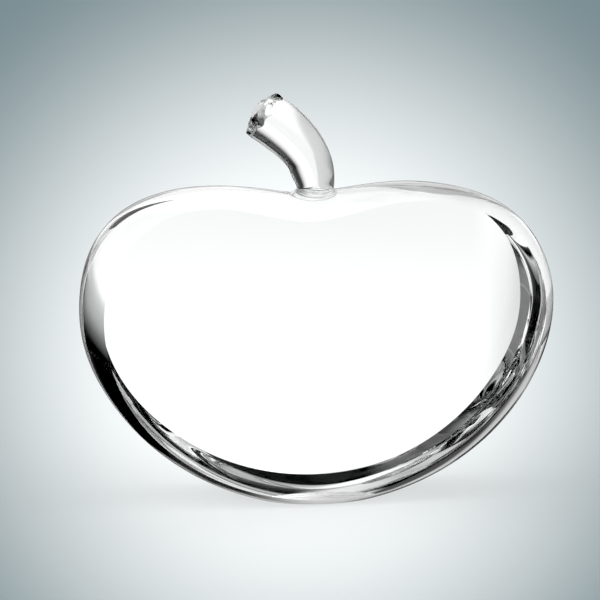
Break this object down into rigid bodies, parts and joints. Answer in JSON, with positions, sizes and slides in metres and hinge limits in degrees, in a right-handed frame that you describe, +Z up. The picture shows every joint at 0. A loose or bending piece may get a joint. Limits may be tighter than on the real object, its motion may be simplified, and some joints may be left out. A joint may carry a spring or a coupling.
{
  "type": "crystal apple ornament",
  "caption": "Clear crystal apple: a thick flat slab with a rounded rim, bare polished faces and a flat ground foot, with a bent crystal stem bonded in the dip at its top.",
  "frame": {"origin": "on the resting plane, midway across the width and the thickness", "axes": "+X to the right across the front face, +Y into the slab from the front face to the back face, +Z up"},
  "size_m": [0.1017, 0.0264, 0.0869],
  "materials": {
    "body_crystal": "polished clear optical crystal",
    "stem_crystal": "fire-polished clear crystal with a broken tip",
    "clear_adhesive": "cured clear resin, glossy"
  },
  "bodies": {
    "root": {"apple_body": "body_crystal", "stem": "stem_crystal", "stem_adhesive": "clear_adhesive"}
  },
  "joints": []
}
